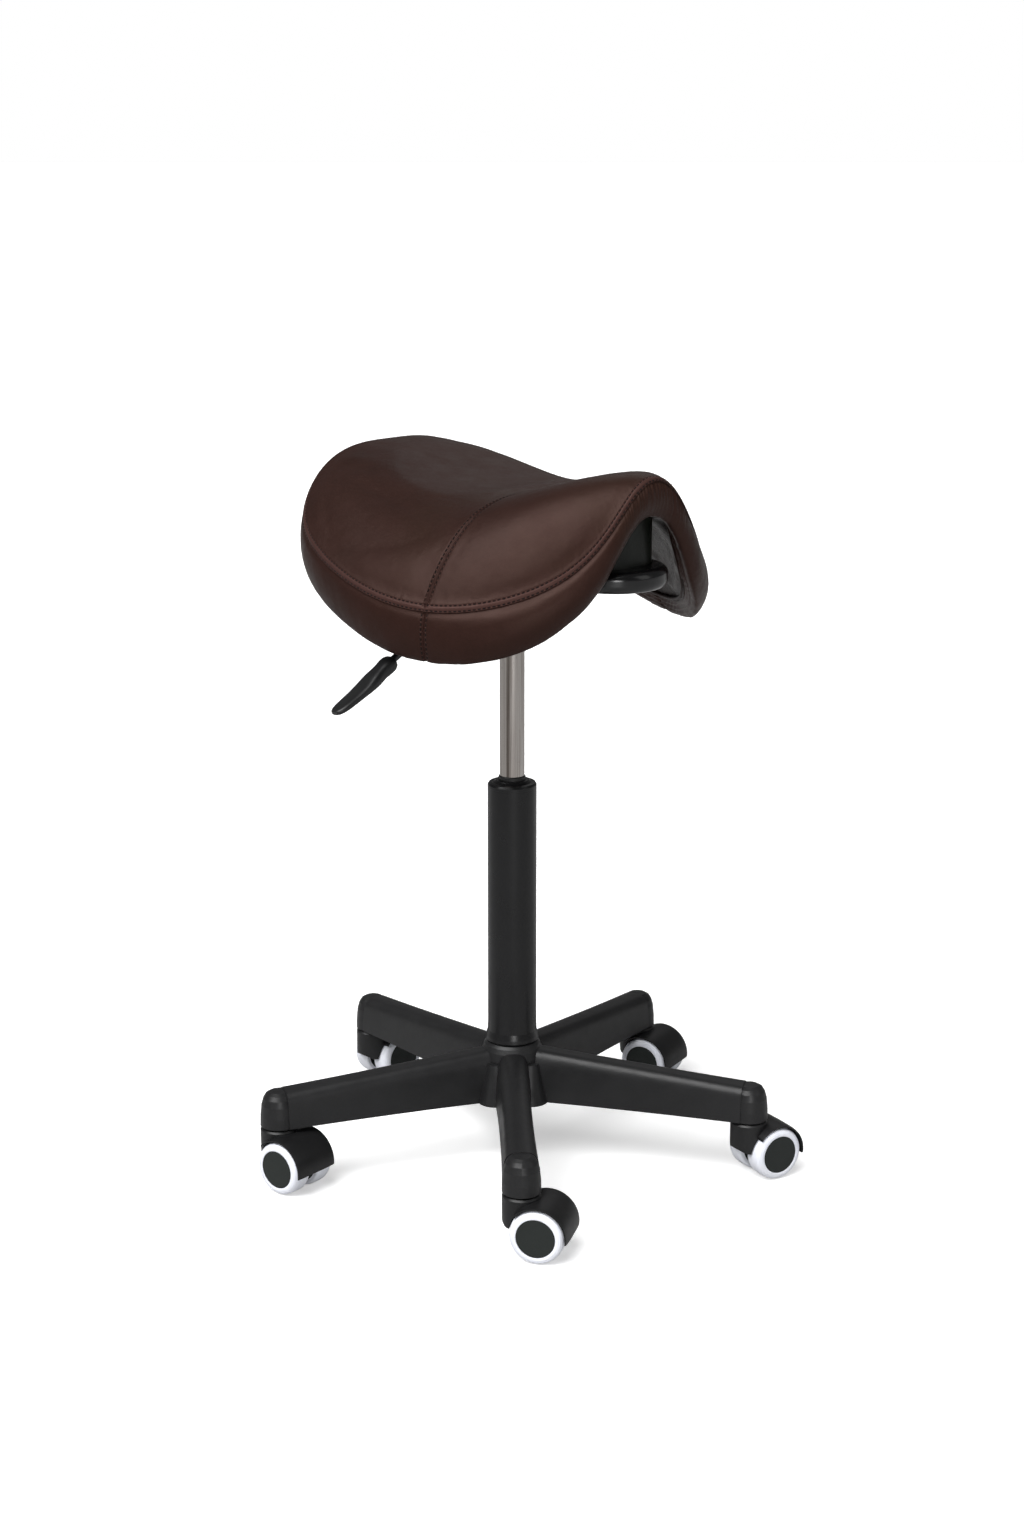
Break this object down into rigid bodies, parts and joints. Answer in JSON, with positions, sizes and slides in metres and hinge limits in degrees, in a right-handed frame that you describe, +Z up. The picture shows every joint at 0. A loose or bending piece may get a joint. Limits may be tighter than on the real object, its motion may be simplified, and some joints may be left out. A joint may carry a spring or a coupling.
{
  "type": "dentist saddle stool",
  "caption": "Saddle stool with a sewn leather seat, gas height lift with release lever, and a star base on hooded twin-wheel casters.",
  "frame": {"origin": "on the floor plane, under the gas lift's axis", "axes": "+Z up along the lift; the front arm of the base points along -Y (2 degrees towards +X); the saddle's front points 44 degrees from +X towards -Y"},
  "size_m": [0.6135, 0.5996, 0.8089],
  "materials": {
    "cover_leather": "dark brown synthetic leather, fine grain, soft sheen, double top-stitched seams",
    "lining_leather": "dark brown leathercloth, folded and stapled under the shell",
    "foam": "moulded polyurethane foam, hidden by the cover",
    "plywood": "moulded plywood shell, hidden",
    "black_board": "black lacquered board with a dull sheen",
    "gloss_black": "glossy black moulded plastic",
    "black_steel": "black powder coat",
    "zinc_steel": "zinc plated",
    "bright_steel": "bright ground steel",
    "lift_chrome": "hard chromed tube with drawn streaks along it",
    "grip_plastic": "satin black moulded plastic",
    "bush_plastic": "black acetal",
    "cover_plastic": "satin black extruded cover",
    "base_nylon": "black glass-filled nylon, fine moulded texture",
    "hood_nylon": "black nylon, fine texture",
    "wheel_nylon": "black nylon wheel core",
    "tread_polyurethane": "pale grey soft polyurethane"
  },
  "bodies": {
    "root": {"star_base": "base_nylon", "caster_stems": "zinc_steel", "stand_tube": "black_steel", "guide_bush": "bush_plastic", "dust_cover": "cover_plastic", "cover_cap": "cover_plastic", "thrust_bearing": "zinc_steel"},
    "lift_rod": {"piston_rod": "bright_steel", "retaining_clip": "zinc_steel"},
    "seat": {"pressure_tube": "lift_chrome", "seat_mechanism": "black_steel", "seat_pan": "gloss_black", "seat_bolts": "zinc_steel", "seat_washers": "zinc_steel", "tee_nuts": "zinc_steel", "support_block": "black_board", "seat_shell": "plywood", "seat_foam": "foam", "cover_top_front": "cover_leather", "cover_top_rear": "cover_leather", "cover_band_front": "cover_leather", "cover_band_rear": "cover_leather", "cover_lining": "lining_leather"},
    "lever": {"lever_rod": "black_steel", "lever_grip": "grip_plastic"},
    "valve": {"valve_pin": "bright_steel"},
    "caster_f": {"caster_f_housing": "hood_nylon", "caster_f_axle": "bright_steel"},
    "wheel_f_a": {"caster_f_core_a": "wheel_nylon", "caster_f_tread_a": "tread_polyurethane"},
    "wheel_f_b": {"caster_f_core_b": "wheel_nylon", "caster_f_tread_b": "tread_polyurethane"},
    "caster_l": {"caster_l_housing": "hood_nylon", "caster_l_axle": "bright_steel"},
    "wheel_l_a": {"caster_l_core_a": "wheel_nylon", "caster_l_tread_a": "tread_polyurethane"},
    "wheel_l_b": {"caster_l_core_b": "wheel_nylon", "caster_l_tread_b": "tread_polyurethane"},
    "caster_r": {"caster_r_housing": "hood_nylon", "caster_r_axle": "bright_steel"},
    "wheel_r_a": {"caster_r_core_a": "wheel_nylon", "caster_r_tread_a": "tread_polyurethane"},
    "wheel_r_b": {"caster_r_core_b": "wheel_nylon", "caster_r_tread_b": "tread_polyurethane"},
    "caster_bl": {"caster_bl_housing": "hood_nylon", "caster_bl_axle": "bright_steel"},
    "wheel_bl_a": {"caster_bl_core_a": "wheel_nylon", "caster_bl_tread_a": "tread_polyurethane"},
    "wheel_bl_b": {"caster_bl_core_b": "wheel_nylon", "caster_bl_tread_b": "tread_polyurethane"},
    "caster_br": {"caster_br_housing": "hood_nylon", "caster_br_axle": "bright_steel"},
    "wheel_br_a": {"caster_br_core_a": "wheel_nylon", "caster_br_tread_a": "tread_polyurethane"},
    "wheel_br_b": {"caster_br_core_b": "wheel_nylon", "caster_br_tread_b": "tread_polyurethane"}
  },
  "joints": [
    {"name": "seat_swivel", "type": "hinge", "parent": "root", "child": "lift_rod", "pos_m": [0, 0, 0.07], "axis": [0, 0, 1], "continuous": true},
    {"name": "height_adjust", "type": "slide", "parent": "lift_rod", "child": "seat", "axis": [0, 0, 1], "range_m": [-0.165, 0.012]},
    {"name": "release_lever", "type": "hinge", "parent": "seat", "child": "lever", "pos_m": [-0.0257, -0.02662, 0.6595], "axis": [-0.7193, 0.6947, 0], "range_deg": [0, 5], "stiffness_Nm_per_rad": 1.5, "springref_deg": -6.88},
    {"name": "valve_press", "type": "slide", "parent": "seat", "child": "valve", "axis": [0, 0, -1], "range_m": [0, 0.0036]},
    {"name": "caster_f_swivel", "type": "hinge", "parent": "root", "child": "caster_f", "pos_m": [0.01, -0.27807, 0.055], "axis": [0, 0, 1], "continuous": true},
    {"name": "wheel_f_a_spin", "type": "hinge", "parent": "caster_f", "child": "wheel_f_a", "pos_m": [0.03198, -0.28412, 0.03], "axis": [0.2656, 0.9641, 0], "continuous": true},
    {"name": "wheel_f_b_spin", "type": "hinge", "parent": "caster_f", "child": "wheel_f_b", "pos_m": [0.03198, -0.28412, 0.03], "axis": [0.2656, 0.9641, 0], "continuous": true},
    {"name": "caster_l_swivel", "type": "hinge", "parent": "root", "child": "caster_l", "pos_m": [-0.26137, -0.09544, 0.055], "axis": [0, 0, 1], "continuous": true},
    {"name": "wheel_l_a_spin", "type": "hinge", "parent": "caster_l", "child": "wheel_l_a", "pos_m": [-0.24353, -0.10963, 0.03], "axis": [0.6225, 0.7826, 0], "continuous": true},
    {"name": "wheel_l_b_spin", "type": "hinge", "parent": "caster_l", "child": "wheel_l_b", "pos_m": [-0.24353, -0.10963, 0.03], "axis": [0.6225, 0.7826, 0], "continuous": true},
    {"name": "caster_r_swivel", "type": "hinge", "parent": "root", "child": "caster_r", "pos_m": [0.26755, -0.07642, 0.055], "axis": [0, 0, 1], "continuous": true},
    {"name": "wheel_r_a_spin", "type": "hinge", "parent": "caster_r", "child": "wheel_r_a", "pos_m": [0.28722, -0.06488, 0.03], "axis": [-0.506, 0.8625, 0], "continuous": true},
    {"name": "wheel_r_b_spin", "type": "hinge", "parent": "caster_r", "child": "wheel_r_b", "pos_m": [0.28722, -0.06488, 0.03], "axis": [-0.506, 0.8625, 0], "continuous": true},
    {"name": "caster_bl_swivel", "type": "hinge", "parent": "root", "child": "caster_bl", "pos_m": [-0.17154, 0.21908, 0.055], "axis": [0, 0, 1], "continuous": true},
    {"name": "wheel_bl_a_spin", "type": "hinge", "parent": "caster_bl", "child": "wheel_bl_a", "pos_m": [-0.15505, 0.23484, 0.03], "axis": [-0.6909, 0.723, 0], "continuous": true},
    {"name": "wheel_bl_b_spin", "type": "hinge", "parent": "caster_bl", "child": "wheel_bl_b", "pos_m": [-0.15505, 0.23484, 0.03], "axis": [-0.6909, 0.723, 0], "continuous": true},
    {"name": "caster_br_swivel", "type": "hinge", "parent": "root", "child": "caster_br", "pos_m": [0.15535, 0.23084, 0.055], "axis": [0, 0, 1], "continuous": true},
    {"name": "wheel_br_a_spin", "type": "hinge", "parent": "caster_br", "child": "wheel_br_a", "pos_m": [0.17496, 0.2192, 0.03], "axis": [0.5105, 0.8599, 0], "continuous": true},
    {"name": "wheel_br_b_spin", "type": "hinge", "parent": "caster_br", "child": "wheel_br_b", "pos_m": [0.17496, 0.2192, 0.03], "axis": [0.5105, 0.8599, 0], "continuous": true}
  ],
  "couplings": [
    {"joint": "valve_press", "follows": "release_lever", "m_per_rad": 0.04}
  ]
}
